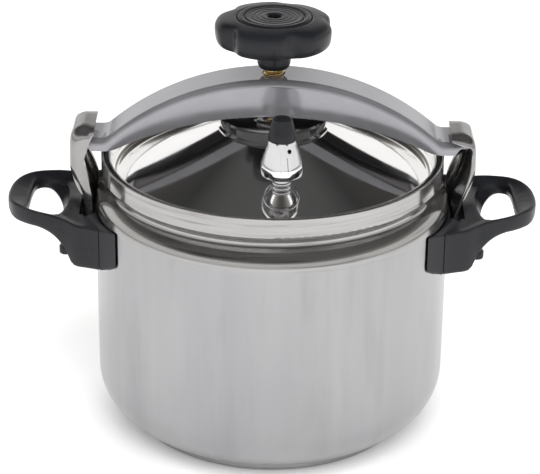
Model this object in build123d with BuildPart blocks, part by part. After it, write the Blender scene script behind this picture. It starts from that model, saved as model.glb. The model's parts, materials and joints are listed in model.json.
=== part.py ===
from build123d import *
from math import acos, cos, degrees, radians, sin
import os

os.makedirs("parts", exist_ok=True)

# Clamp-bar pressure canner of about eight litres.
# Millimetres, +Z up, the origin at the centre of the base; the regulating valve faces -Y.

# ---- driving dimensions ----
body_radius = 120.0
wall = 1.5
base_disc_radius = 97.0
base_disc_height = 4.5
bottom_corner_radius = 32.0
shoulder_height = 158.0
collar_radius = 115.6
rim_height = 193.0

lid_sheet = 1.2
lid_crown_height = 211.6
lid_crown_radius = 31.5
lid_slope = 24.8
lid_lip_radius = 109.4
lid_lip_height = 191.5

boss_radius = 35.5
boss_top = 218.5

valve_radius = 76.0
valve_bearing = -85.6
valve_seat_height = 189.2
valve_x = valve_radius * cos(radians(valve_bearing))
valve_y = valve_radius * sin(radians(valve_bearing))
relief_y = 70.0
relief_seat_height = 192.0

yoke_width = 36.0
yoke_sheet = 3.0
yoke_top = 248.2
yoke_top_radius = 167.0
yoke_under = 223.5
yoke_under_radius = 235.0
tongue_top = 205.3
tongue_under = 197.3
tongue_end = 130.0
flange_end = 125.0

hook_sheet = 3.0
hook_roof_top = 213.0
hook_roof_reach = 116.0

handle_top = 161.8
handle_reach = 179.5

spindle_radius = 7.0
running_gap = 0.05
foot_bottom = 222.0
knob_radius = 38.0
knob_lobes = 5
knob_first_notch = 20.0
knob_bottom = 271.0
knob_top = 288.0
stem_bottom = 252.0


def save(piece, label):
    piece.part.label = label
    export_step(piece.part, f"parts/{label}.step")


# ---- pot: drawn shell with a rounded foot, a shoulder, a waisted neck and a straight collar ----
shoulder_arc = 65.0
shoulder_bend = 13.5
waist_bend = 3.5
waist_arc = 115.0
ledge_heading = 90.0 + shoulder_arc - waist_arc
ledge_bend = 3.0
waist_x = body_radius - shoulder_bend * (1 - cos(radians(shoulder_arc)))
waist_x -= waist_bend * (sin(radians(ledge_heading)) - sin(radians(90.0 + shoulder_arc)))
ledge_run = collar_radius - ledge_bend * (1 - sin(radians(ledge_heading))) - waist_x
ledge_length = ledge_run / cos(radians(ledge_heading))
ledge_direction = Vector(cos(radians(ledge_heading)), sin(radians(ledge_heading)))

with BuildPart() as pot_body:
    with BuildSketch(Plane.XZ):
        with BuildLine():
            floor_end = (body_radius - bottom_corner_radius, base_disc_height)
            Line((0, base_disc_height), floor_end)
            corner = JernArc(start=floor_end, tangent=(1, 0), radius=bottom_corner_radius, arc_size=90)
            side = Line(corner @ 1, (body_radius, shoulder_height))
            shoulder = JernArc(start=side @ 1, tangent=(0, 1), radius=shoulder_bend, arc_size=shoulder_arc)
            waist = JernArc(
                start=shoulder @ 1,
                tangent=shoulder % 1,
                radius=waist_bend,
                arc_size=-waist_arc,
            )
            ledge = Line(waist @ 1, waist @ 1 + ledge_direction * ledge_length)
            turn = JernArc(
                start=ledge @ 1,
                tangent=ledge % 1,
                radius=ledge_bend,
                arc_size=90 - ledge_heading,
            )
            Line(turn @ 1, (collar_radius, rim_height))
            offset(amount=wall, side=Side.LEFT)
        make_face()
    revolve(axis=Axis.Z)
    rim_edges = pot_body.edges().filter_by(GeomType.CIRCLE).group_by(Axis.Z)[-1]
    fillet(rim_edges, radius=0.6)
save(pot_body, "pot_body")


# ---- base: an aluminium heat-spreading disc capped in steel ----
cap_sheet = 1.0
cap_lift = 0.3
with BuildPart() as base_cap:
    with BuildSketch():
        Circle(base_disc_radius)
    extrude(amount=base_disc_height + cap_lift)
    fillet(base_cap.edges().group_by(Axis.Z)[0], radius=2.0)
    with BuildSketch(Plane.XY.offset(cap_sheet)):
        Circle(base_disc_radius - cap_sheet)
    extrude(amount=base_disc_height, mode=Mode.SUBTRACT)
save(base_cap, "base_cap")

with BuildPart() as base_core:
    with BuildSketch(Plane.XY.offset(cap_sheet)):
        Circle(base_disc_radius - cap_sheet)
    extrude(amount=base_disc_height - cap_sheet)
    fillet(base_core.edges().group_by(Axis.Z)[0], radius=0.8)
save(base_core, "base_core")


# ---- lid: a mirror-polished cone whose edge turns up inside the collar ----
lid_bend = 3.5
crown_bend = 4.0
slope_start = lid_crown_radius + crown_bend * sin(radians(lid_slope))
slope_end = lid_lip_radius - lid_bend * (1 + sin(radians(lid_slope)))
slope_length = (slope_end - slope_start) / cos(radians(lid_slope))
slope_direction = Vector(cos(radians(lid_slope)), -sin(radians(lid_slope)))
stem_hole_radius = 5.05
seat_radius = 13.0
seat_sheet = 1.5

with BuildPart() as lid_shell:
    with BuildSketch(Plane.XZ):
        with BuildLine():
            crown = Line((0, lid_crown_height), (lid_crown_radius, lid_crown_height))
            knee = JernArc(start=crown @ 1, tangent=(1, 0), radius=crown_bend, arc_size=-lid_slope)
            cone = Line(knee @ 1, knee @ 1 + slope_direction * slope_length)
            heel = JernArc(start=cone @ 1, tangent=cone % 1, radius=lid_bend, arc_size=90 + lid_slope)
            Line(heel @ 1, (lid_lip_radius, lid_lip_height))
            offset(amount=lid_sheet, side=Side.RIGHT)
        make_face()
    revolve(axis=Axis.Z)
    for seat_x, seat_y, seat_z in (
        (valve_x, valve_y, valve_seat_height),
        (0, relief_y, relief_seat_height),
    ):
        with BuildSketch(Plane.XY.offset(seat_z - 7.0)):
            with Locations((seat_x, seat_y)):
                Circle(seat_radius)
        extrude(amount=7.0)
        with BuildSketch(Plane.XY.offset(seat_z)):
            with Locations((seat_x, seat_y)):
                Circle(seat_radius - seat_sheet)
        extrude(amount=12.0, mode=Mode.SUBTRACT)
        with BuildSketch(Plane.XY.offset(seat_z - 16.0)):
            with Locations((seat_x, seat_y)):
                Circle(seat_radius - seat_sheet)
        extrude(amount=16.0 - seat_sheet, mode=Mode.SUBTRACT)
        with BuildSketch(Plane.XY.offset(seat_z - 5.0)):
            with Locations((seat_x, seat_y)):
                Circle(stem_hole_radius)
        extrude(amount=10.0, mode=Mode.SUBTRACT)
save(lid_shell, "lid_shell")

gasket_inner = lid_lip_radius + lid_sheet + 0.15
gasket_outer = collar_radius - wall - 0.4
with BuildPart() as lid_gasket:
    with BuildSketch(Plane.XZ):
        with BuildLine():
            Polyline(
                (gasket_inner, 187.5),
                (gasket_outer, 187.5),
                (gasket_outer, 180.7),
                (gasket_inner + 0.5, 178.4),
                (gasket_inner, 179.4),
                close=True,
            )
        make_face()
    revolve(axis=Axis.Z)
save(lid_gasket, "lid_gasket")

with BuildPart() as pressure_boss:
    with BuildSketch(Plane.XZ):
        with BuildLine():
            Polyline(
                (0, lid_crown_height + 0.05),
                (boss_radius - 2.0, lid_crown_height + 0.05),
                (boss_radius, lid_crown_height - 1.1),
                (boss_radius + 1.5, lid_crown_height - 1.8),
                (boss_radius + 1.5, lid_crown_height - 0.4),
                (boss_radius, lid_crown_height + 0.8),
                (boss_radius, boss_top - 1.2),
                (boss_radius - 1.2, boss_top),
                (26, boss_top),
                (24.8, boss_top - 1.2),
                (16, boss_top - 1.2),
                (14.8, boss_top),
                (0, boss_top),
                close=True,
            )
        make_face()
    revolve(axis=Axis.Z)
save(pressure_boss, "pressure_boss")


# ---- weighted regulating valve and the stem it sits on ----
def half_section(profile, x, y):
    """Half profile (radius, height) of a turned piece that stands on a vertical axis at x, y."""
    with BuildSketch(Plane(origin=(x, y, 0), x_dir=(1, 0, 0), z_dir=(0, -1, 0))) as section:
        with BuildLine():
            Polyline(*profile, close=True)
        make_face()
    return section.sketch


valve_axis = Axis((valve_x, valve_y, 0), (0, 0, 1))
relief_axis = Axis((0, relief_y, 0), (0, 0, 1))
seat = valve_seat_height
vent_radius = 1.5
with BuildPart() as valve_stem:
    revolve(half_section(
        [
            (vent_radius, seat - 12.0),
            (5.0, seat - 12.0),
            (5.0, seat + 0.02),
            (8.0, seat + 0.02),
            (8.0, seat + 3.0),
            (6.0, seat + 4.0),
            (6.0, seat + 12.2),
            (5.0, seat + 13.1),
            (5.0, seat + 26.0),
            (3.2, seat + 28.5),
            (vent_radius, seat + 28.5),
        ],
        valve_x,
        valve_y,
    ), axis=valve_axis)
save(valve_stem, "valve_stem")

nut_top = seat - seat_sheet - 1.6
nut_height = 5.5
nut_bore = 5.02
for nut_label, washer_label, nut_x, nut_y, drop in (
    ("valve_nut", "valve_washer", valve_x, valve_y, 0.0),
    ("relief_nut", "relief_washer", 0.0, relief_y, relief_seat_height - seat),
):
    with BuildPart() as seal_washer:
        with BuildSketch(Plane.XY.offset(nut_top + drop)):
            with Locations((nut_x, nut_y)):
                Circle(9.5)
                Circle(nut_bore, mode=Mode.SUBTRACT)
        extrude(amount=1.58)
    save(seal_washer, washer_label)
    with BuildPart() as stem_nut:
        with BuildSketch(Plane.XY.offset(nut_top + drop - nut_height)):
            with Locations((nut_x, nut_y)):
                RegularPolygon(radius=9.0, side_count=6)
                Circle(nut_bore, mode=Mode.SUBTRACT)
        extrude(amount=nut_height - 0.02)
    save(stem_nut, nut_label)

skirt = seat + 13.2
weight_bore = 5.1
weight_top = skirt + 28.2
facets = 12
with BuildPart() as valve_weight:
    revolve(half_section(
        [
            (weight_bore, skirt),
            (9.5, skirt),
            (12.6, skirt + 2.2),
            (14.0, skirt + 5.0),
            (14.0, skirt + 8.0),
            (12.6, skirt + 12.0),
            (9.2, weight_top - 1.2),
            (8.6, weight_top),
            (1.55, weight_top),
            (1.55, skirt + 18.0),
            (3.6, skirt + 16.0),
            (weight_bore, skirt + 13.5),
        ],
        valve_x,
        valve_y,
    ), axis=valve_axis)
    with BuildSketch(Plane.XY.offset(skirt - 0.5)):
        with Locations((valve_x, valve_y)):
            Circle(18)
            RegularPolygon(radius=14.2, side_count=facets, mode=Mode.SUBTRACT)
    extrude(amount=30, mode=Mode.SUBTRACT)
    for bearing in (45, 135, 225, 315):
        window_x = valve_x + 12.5 * cos(radians(bearing))
        window_y = valve_y + 12.5 * sin(radians(bearing))
        with Locations(Location((window_x, window_y, skirt + 5.2), (0, 90, bearing))):
            Cylinder(radius=2.6, height=7.0, mode=Mode.SUBTRACT)
save(valve_weight, "valve_weight")

with BuildPart() as valve_pin:
    revolve(half_section(
        [
            (0, skirt + 15.4),
            (1.5, skirt + 17.2),
            (1.5, weight_top + 1.7),
            (3.0, weight_top + 1.7),
            (3.0, weight_top + 3.2),
            (0, weight_top + 3.2),
        ],
        valve_x,
        valve_y,
    ), axis=valve_axis)
save(valve_pin, "valve_pin")

with BuildPart() as valve_cap:
    revolve(half_section(
        [
            (1.55, weight_top + 0.02),
            (8.7, weight_top + 0.02),
            (8.7, weight_top + 2.7),
            (6.4, weight_top + 12.9),
            (5.2, weight_top + 14.1),
            (0, weight_top + 14.6),
            (0, weight_top + 3.25),
            (3.1, weight_top + 3.25),
            (3.1, weight_top + 1.65),
            (1.55, weight_top + 1.65),
        ],
        valve_x,
        valve_y,
    ), axis=valve_axis)
save(valve_cap, "valve_cap")

relief = relief_seat_height
with BuildPart() as relief_body:
    revolve(half_section(
        [
            (1.8, relief - 12.0),
            (5.0, relief - 12.0),
            (5.0, relief + 0.02),
            (9.0, relief + 0.02),
            (9.0, relief + 5.0),
            (7.0, relief + 6.5),
            (7.0, relief + 12.0),
            (4.1, relief + 12.0),
            (4.1, relief + 8.0),
            (1.8, relief + 6.0),
        ],
        0,
        relief_y,
    ), axis=relief_axis)
save(relief_body, "relief_body")

with BuildPart() as relief_plug:
    revolve(half_section(
        [
            (0, relief + 7.0),
            (2.2, relief + 7.0),
            (4.0, relief + 8.6),
            (4.0, relief + 12.05),
            (5.6, relief + 12.05),
            (5.6, relief + 13.6),
            (3.4, relief + 15.2),
            (0, relief + 15.4),
        ],
        0,
        relief_y,
    ), axis=relief_axis)
save(relief_plug, "relief_plug")


# ---- hooks: pressed brackets welded to the pot, each with a roof that the clamp bar pulls up against ----
pad_sheet = 1.2
pad_half_width = 36.0
pad_bottom = 128.5
pad_top = 151.0
weld_gap = 0.05
pad_inner = body_radius + weld_gap
strap_inner = pad_inner + pad_sheet + weld_gap
strap_middle = strap_inner + hook_sheet / 2
roof_middle = hook_roof_top - hook_sheet / 2
roof_end = hook_roof_reach - hook_sheet / 2
roof_bend = 9.0
hook_reach = 135.5
hook_front = yoke_width / 2 + 0.4 + hook_sheet
foot_half_width = 22.0
shoulder_of_hook = 186.0
lip_bottom = tongue_top + 0.7
front_edges = {
    "left": [
        (roof_end, lip_bottom),
        (122.5, 199.0),
        (125.4, 191.8),
        (123.4, 181.0),
        (120.7, 165.0),
        (120.7, 149.0),
    ],
    "right": [
        (roof_end, lip_bottom),
        (hook_reach - 3.0, lip_bottom),
        (hook_reach - 3.0, 181.0),
        (125.0, 158.0),
    ],
}
back_edge = [(134.0, 199.0), (131.0, 195.0), (125.0, 182.0), (119.4, 166.0), (120.7, 149.0)]
hook_back = {"left": 13.0, "right": 7.0}

for side_name, mirror_side in (("left", True), ("right", False)):
    roof_back = hook_back[side_name]
    with BuildPart() as hook:
        with BuildSketch(Plane.XZ):
            with BuildLine():
                FilletPolyline(
                    (strap_middle, 139),
                    (126.6, 158),
                    (hook_reach, 180),
                    (hook_reach - 0.4, roof_middle),
                    (roof_end, roof_middle),
                    radius=roof_bend,
                )
                offset(amount=hook_sheet / 2)
            make_face()
        extrude(amount=foot_half_width, both=True)
        with BuildSketch(Plane.YZ.offset(100)):
            with BuildLine():
                Polyline(
                    (-hook_front, 120),
                    (foot_half_width, 120),
                    (foot_half_width, shoulder_of_hook),
                    (roof_back + 3, 198),
                    (roof_back, 205),
                    (roof_back, 230),
                    (-hook_front, 230),
                    close=True,
                )
            make_face()
            fillet(vertices().filter_by(lambda v: v.Y > 0 and 190 < v.Z < 210), radius=6.0)
        extrude(amount=60, mode=Mode.INTERSECT)
        outer_line = [
            (strap_middle + 0.5, 141),
            (127.2, 157.6),
            (hook_reach + 0.6, 180),
            (hook_reach, roof_middle),
            (roof_end, roof_middle),
        ]
        with BuildSketch(Plane.XZ.offset(hook_front)):
            with BuildLine():
                Polyline(*front_edges[side_name], *outer_line, close=True)
            make_face()
        extrude(amount=-hook_sheet)
        with BuildSketch(Plane.XZ.offset(-foot_half_width)):
            with BuildLine():
                Polyline(*back_edge, *outer_line[:3], close=True)
            make_face()
        extrude(amount=hook_sheet)
        with BuildSketch(Plane.XY.offset(pad_bottom)):
            Circle(strap_inner + hook_sheet)
            Circle(strap_inner, mode=Mode.SUBTRACT)
            with Locations((strap_inner, 0)):
                Rectangle(60, 2 * hook_front, mode=Mode.INTERSECT)
        extrude(amount=142.0 - pad_bottom)
        if mirror_side:
            mirror(about=Plane.YZ, mode=Mode.REPLACE)
    save(hook, f"{side_name}_hook")

with BuildPart() as right_hook_pad:
    with BuildSketch(Plane.XY.offset(pad_bottom)):
        Circle(pad_inner + pad_sheet)
        Circle(pad_inner, mode=Mode.SUBTRACT)
        with Locations((pad_inner, 0)):
            Rectangle(60, 2 * pad_half_width, mode=Mode.INTERSECT)
    extrude(amount=pad_top - pad_bottom)
save(right_hook_pad, "right_hook_pad")

with BuildPart() as left_hook_pad:
    add(mirror(right_hook_pad.part, about=Plane.YZ))
save(left_hook_pad, "left_hook_pad")


# ---- moulded handles: a block round the hook's foot and a finger loop beyond it ----
handle_gap = 0.3
block_half_width = 56.0
pocket_half_width = 25.0
screw_x = 137.5
screw_y = 38.0
screw_boss_radius = 4.5
screw_bottom = 133.0
screw_shank_radius = 2.25
screw_head_radius = 3.3

with BuildPart() as right_handle:
    with BuildSketch(Plane.XZ):
        with BuildLine():
            Polyline(
                (99, 157),
                (132, 157.5),
                (150, 160.3),
                (165, handle_top),
                (174, handle_top - 0.6),
                (handle_reach, 157),
                (handle_reach, 152.5),
                (175, 149.5),
                (160, 149.8),
                (147.5, 146.2),
                (139, 139),
                (132.5, 126),
                (116, 126.5),
                (104, 131),
                (99, 141),
                close=True,
            )
        make_face()
        fillet(vertices().filter_by(lambda v: v.X > 170), radius=1.8)
        fillet(vertices().filter_by(lambda v: 131 < v.X < 148 and v.Z < 150), radius=5.0)
    extrude(amount=70, both=True)
    with BuildSketch(Plane.XY.offset(100)):
        with BuildLine():
            front_edge = Spline(
                (98, -block_half_width - 9.5),
                (108, -block_half_width - 4),
                (122, -52.5),
                (140, -43.5),
                (158, -37),
                (172, -26),
                (handle_reach, 0),
                tangents=((1, 0.1), (0, 1)),
            )
            mirror(front_edge, about=Plane.XZ)
            Line((98, -block_half_width - 9.5), (98, block_half_width + 9.5))
        make_face()
        Circle(body_radius + handle_gap, mode=Mode.SUBTRACT)
    extrude(amount=100, mode=Mode.INTERSECT)
    with BuildSketch(Plane.XY.offset(pad_bottom - 0.5)):
        Circle(pad_inner + pad_sheet + 0.3)
        with Locations((pad_inner, 0)):
            Rectangle(60, 2 * pad_half_width + 1, mode=Mode.INTERSECT)
    extrude(amount=60, mode=Mode.SUBTRACT)
    with BuildSketch(Plane.XY.offset(pad_bottom - 2)):
        with Locations((122, 0)):
            Rectangle(17, 2 * pocket_half_width)
    extrude(amount=60, mode=Mode.SUBTRACT)
    with BuildSketch(Plane.XY.offset(120)):
        with BuildLine():
            Polyline(
                (163, -29),
                (163, 29),
                (150, 34),
                (141.5, 26),
                (138.5, 0),
                (141.5, -26),
                (150, -34),
                close=True,
            )
        make_face()
        fillet(vertices(), radius=6.0)
    extrude(amount=60, mode=Mode.SUBTRACT)
    with BuildSketch(Plane.XY.offset(screw_bottom)):
        with Locations((screw_x, -screw_y), (screw_x, screw_y)):
            Circle(screw_boss_radius)
    extrude(amount=14)
    with BuildSketch(Plane.XY.offset(screw_bottom)):
        with Locations((screw_x, -screw_y), (screw_x, screw_y)):
            Circle(screw_shank_radius + 0.05)
    extrude(amount=16, mode=Mode.SUBTRACT)
    with BuildSketch(Plane.XY.offset(screw_bottom - 1)):
        with Locations((screw_x, -screw_y), (screw_x, screw_y)):
            Circle(screw_head_radius + 0.1)
    extrude(amount=3.2, mode=Mode.SUBTRACT)
save(right_handle, "right_handle")

with BuildPart() as left_handle:
    add(mirror(right_handle.part, about=Plane.YZ))
save(left_handle, "left_handle")

for side_name, side_sign in (("left", -1), ("right", 1)):
    with BuildPart() as handle_screws:
        with BuildSketch(Plane.XY.offset(screw_bottom + 0.4)):
            with Locations((side_sign * screw_x, -screw_y), (side_sign * screw_x, screw_y)):
                Circle(screw_head_radius)
        extrude(amount=1.8)
        with BuildSketch(Plane.XY.offset(screw_bottom + 0.4)):
            with Locations((side_sign * screw_x, -screw_y), (side_sign * screw_x, screw_y)):
                Circle(screw_shank_radius)
        extrude(amount=15.2)
        with BuildSketch(Plane.XY.offset(screw_bottom)):
            with Locations((side_sign * screw_x, -screw_y), (side_sign * screw_x, screw_y)):
                Rectangle(7.5, 0.9)
        extrude(amount=1.3, mode=Mode.SUBTRACT)
    save(handle_screws, f"{side_name}_handle_screws")


# ---- clamp bar: an arched channel whose flat tongues sit under the hook roofs ----
def arch_line(rise, radius, landing, landing_radius):
    """Half arch in XZ from the crown: a wide arc, a counter-curve and the flat landing's height."""
    drop = rise - landing
    turn_angle = degrees(acos(1 - drop / (radius + landing_radius)))
    crown_arc = JernArc(start=(0, rise), tangent=(1, 0), radius=radius, arc_size=-turn_angle)
    return JernArc(start=crown_arc @ 1, tangent=crown_arc % 1, radius=landing_radius, arc_size=turn_angle)


top_landing_radius = 8.0
under_landing_radius = 25.0
corner_cut = 2.5
top_edge_bend = 3.6

with BuildPart() as clamp_bar:
    with BuildSketch(Plane.XZ):
        with BuildLine():
            top_end = arch_line(yoke_top, yoke_top_radius, tongue_top, top_landing_radius)
            under_end = arch_line(yoke_under, yoke_under_radius, tongue_under, under_landing_radius)
            Polyline(
                top_end @ 1,
                (tongue_end, tongue_top),
                (tongue_end, tongue_top - yoke_sheet),
                (flange_end + 1, tongue_top - yoke_sheet),
                (flange_end, tongue_under + corner_cut),
                (flange_end - corner_cut, tongue_under),
                under_end @ 1,
            )
            Line((0, yoke_top), (0, yoke_under))
        make_face()
        mirror(about=Plane.YZ)
    extrude(amount=yoke_width / 2, both=True)
    half_width = yoke_width / 2
    face_edges = clamp_bar.edges().filter_by(lambda edge: abs(abs(edge.center().Y) - half_width) < 0.01)
    upper_edges = face_edges.filter_by(lambda edge: edge.center().Z > tongue_top - 0.5)
    fillet(upper_edges.filter_by(lambda edge: abs(edge.center().Z - yoke_under) > 2), radius=top_edge_bend)
    with BuildSketch(Plane.XZ):
        with BuildLine():
            inner_end = arch_line(
                yoke_top - yoke_sheet,
                yoke_top_radius - yoke_sheet,
                tongue_top - yoke_sheet,
                top_landing_radius + yoke_sheet,
            )
            Polyline(
                inner_end @ 1,
                (tongue_end + 5, tongue_top - yoke_sheet),
                (tongue_end + 5, tongue_under - 10),
                (0, tongue_under - 10),
                (0, yoke_top - yoke_sheet),
            )
        make_face()
        mirror(about=Plane.YZ)
    extrude(amount=yoke_width / 2 - yoke_sheet, both=True, mode=Mode.SUBTRACT)
    with BuildSketch(Plane.XY.offset(yoke_top - 3 * yoke_sheet)):
        Circle(spindle_radius + 0.6)
    extrude(amount=6 * yoke_sheet, mode=Mode.SUBTRACT)
save(clamp_bar, "clamp_bar")

# ---- brass bush under the crown of the bar, which the screw runs through ----
bush_top = yoke_top - yoke_sheet - 0.6
bush_length = 9.5
with BuildPart() as bar_bush:
    with BuildSketch(Plane.XY.offset(bush_top - bush_length)):
        RegularPolygon(radius=13.0, side_count=6)
    extrude(amount=bush_length)
    with BuildSketch(Plane.XY.offset(bush_top - bush_length)):
        Circle(spindle_radius + running_gap)
    extrude(amount=bush_length, mode=Mode.SUBTRACT)
    chamfer(bar_bush.edges().filter_by(GeomType.CIRCLE).group_by(Axis.Z)[0], length=0.8)
save(bar_bush, "bar_bush")

# ---- screw, its pressure foot and the clip that holds the foot on ----
spindle_shoulder = 264.0
foot_radius = 11.0
foot_height = 5.5
neck_radius = 4.0
clip_height = 1.0
foot_recess = 2.4
with BuildPart() as spindle:
    with BuildSketch(Plane.XZ):
        with BuildLine():
            Polyline(
                (0, foot_bottom + 0.4),
                (neck_radius - 0.5, foot_bottom + 0.4),
                (neck_radius, foot_bottom + 0.9),
                (neck_radius, foot_bottom + 1.2),
                (neck_radius - 0.9, foot_bottom + 1.2),
                (neck_radius - 0.9, foot_bottom + 1.2 + clip_height),
                (neck_radius, foot_bottom + 1.2 + clip_height),
                (neck_radius, foot_bottom + foot_height + 0.05),
                (spindle_radius - 0.8, foot_bottom + foot_height + 0.05),
                (spindle_radius, foot_bottom + foot_height + 1.0),
                (spindle_radius, spindle_shoulder),
                (5.0, spindle_shoulder),
                (5.0, knob_top - 3.5),
                (4.4, knob_top - 2.9),
                (0, knob_top - 2.9),
                close=True,
            )
        make_face()
    revolve(axis=Axis.Z)
save(spindle, "spindle")

with BuildPart() as pressure_foot:
    with BuildSketch(Plane.XY.offset(foot_bottom)):
        Circle(foot_radius)
    extrude(amount=foot_height)
    fillet(pressure_foot.edges().group_by(Axis.Z)[0], radius=1.0)
    chamfer(pressure_foot.edges().group_by(Axis.Z)[-1], length=1.5)
    with BuildSketch(Plane.XY.offset(foot_bottom)):
        Circle(neck_radius + running_gap)
    extrude(amount=foot_height, mode=Mode.SUBTRACT)
    with BuildSketch(Plane.XY.offset(foot_bottom)):
        Circle(7.0)
    extrude(amount=foot_recess, mode=Mode.SUBTRACT)
save(pressure_foot, "pressure_foot")

with BuildPart() as foot_clip:
    with BuildSketch(Plane.XY.offset(foot_bottom + 1.25)):
        Circle(6.2)
        Circle(neck_radius - 0.85, mode=Mode.SUBTRACT)
        with Locations((0, -5)):
            Rectangle(3.0, 6, mode=Mode.SUBTRACT)
    extrude(amount=clip_height - 0.1)
save(foot_clip, "foot_clip")


# ---- knob: five-lobed moulding on a short stem, a nut inside and a disc closing the top ----
cap_radius = 24.5
cap_sheet_height = 2.0
notch_depth = 4.2
notch_radius = 14.0
nut_radius = 9.2
with BuildPart() as knob:
    with BuildSketch(Plane.XY.offset(knob_bottom)):
        Circle(knob_radius)
        for lobe in range(knob_lobes):
            bearing = radians(-90.0 + knob_first_notch + lobe * 360.0 / knob_lobes)
            flute = knob_radius - notch_depth + notch_radius
            with Locations((flute * cos(bearing), flute * sin(bearing))):
                Circle(notch_radius, mode=Mode.SUBTRACT)
        fillet(vertices(), radius=8.0)
    extrude(amount=knob_top - knob_bottom)
    with BuildSketch(Plane.XZ):
        with BuildLine():
            Polyline(
                (0, knob_bottom),
                (knob_radius - 3.0, knob_bottom),
                (knob_radius - 0.4, knob_bottom + 1.8),
                (knob_radius + 0.5, knob_bottom + 4.5),
                (knob_radius + 0.5, knob_bottom + 10.5),
                (knob_radius - 1.6, knob_bottom + 13.2),
                (cap_radius + 3.0, knob_top - 1.4),
                (cap_radius + 0.3, knob_top - 0.8),
                (0, knob_top - 0.8),
                close=True,
            )
        make_face()
    revolve(axis=Axis.Z, mode=Mode.INTERSECT)
    with BuildSketch(Plane.XZ):
        with BuildLine():
            Polyline(
                (0, stem_bottom),
                (8.8, stem_bottom),
                (11.0, stem_bottom + 3.2),
                (11.2, knob_bottom - 2.0),
                (14.0, knob_bottom + 0.5),
                (0, knob_bottom + 0.5),
                close=True,
            )
        make_face()
    revolve(axis=Axis.Z)
    with BuildSketch(Plane.XY.offset(knob_top - cap_sheet_height - 0.8)):
        Circle(cap_radius + 0.2)
    extrude(amount=10, mode=Mode.SUBTRACT)
    with BuildSketch(Plane.XY.offset(stem_bottom)):
        Circle(5.05)
    extrude(amount=60, mode=Mode.SUBTRACT)
    with BuildSketch(Plane.XY.offset(stem_bottom)):
        Circle(spindle_radius + running_gap)
    extrude(amount=spindle_shoulder - stem_bottom + 0.02, mode=Mode.SUBTRACT)
    with BuildSketch(Plane.XY.offset(knob_top - 11.0)):
        Circle(nut_radius + 0.8)
    extrude(amount=20, mode=Mode.SUBTRACT)
save(knob, "knob")

with BuildPart() as knob_washer:
    with BuildSketch(Plane.XY.offset(knob_top - 10.97)):
        Circle(nut_radius)
        Circle(5.05, mode=Mode.SUBTRACT)
    extrude(amount=1.5)
save(knob_washer, "knob_washer")

with BuildPart() as knob_nut:
    with BuildSketch(Plane.XY.offset(knob_top - 9.45)):
        RegularPolygon(radius=nut_radius, side_count=6)
        Circle(5.05, mode=Mode.SUBTRACT)
    extrude(amount=6.0)
save(knob_nut, "knob_nut")

with BuildPart() as knob_cap:
    with BuildSketch(Plane.XY.offset(knob_top - cap_sheet_height - 0.78)):
        Circle(cap_radius)
        Circle(4.7, mode=Mode.SUBTRACT)
    extrude(amount=cap_sheet_height + 0.78)
    fillet(knob_cap.edges().filter_by(GeomType.CIRCLE).group_by(Axis.Z)[-1], radius=0.6)
save(knob_cap, "knob_cap")
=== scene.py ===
import json
import math

import bmesh
import bpy
from mathutils import Matrix, Vector


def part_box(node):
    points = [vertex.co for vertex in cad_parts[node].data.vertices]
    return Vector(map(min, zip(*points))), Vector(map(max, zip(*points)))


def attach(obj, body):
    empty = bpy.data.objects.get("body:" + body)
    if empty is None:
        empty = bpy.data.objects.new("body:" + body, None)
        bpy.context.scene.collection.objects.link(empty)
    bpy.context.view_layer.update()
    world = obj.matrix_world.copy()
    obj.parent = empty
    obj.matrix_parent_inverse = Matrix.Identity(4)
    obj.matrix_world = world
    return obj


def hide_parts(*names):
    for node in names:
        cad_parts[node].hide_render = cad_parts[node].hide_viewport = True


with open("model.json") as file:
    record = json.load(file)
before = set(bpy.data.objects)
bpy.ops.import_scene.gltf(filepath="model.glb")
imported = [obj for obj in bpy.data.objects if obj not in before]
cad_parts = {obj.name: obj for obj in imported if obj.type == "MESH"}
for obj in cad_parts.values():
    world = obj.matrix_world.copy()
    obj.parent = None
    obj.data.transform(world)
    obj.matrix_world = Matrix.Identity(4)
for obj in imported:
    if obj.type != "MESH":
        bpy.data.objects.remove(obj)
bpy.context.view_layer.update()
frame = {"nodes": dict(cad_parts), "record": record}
nodes = frame["nodes"]
MM = 0.001
full_turn = 2 * math.pi


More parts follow.
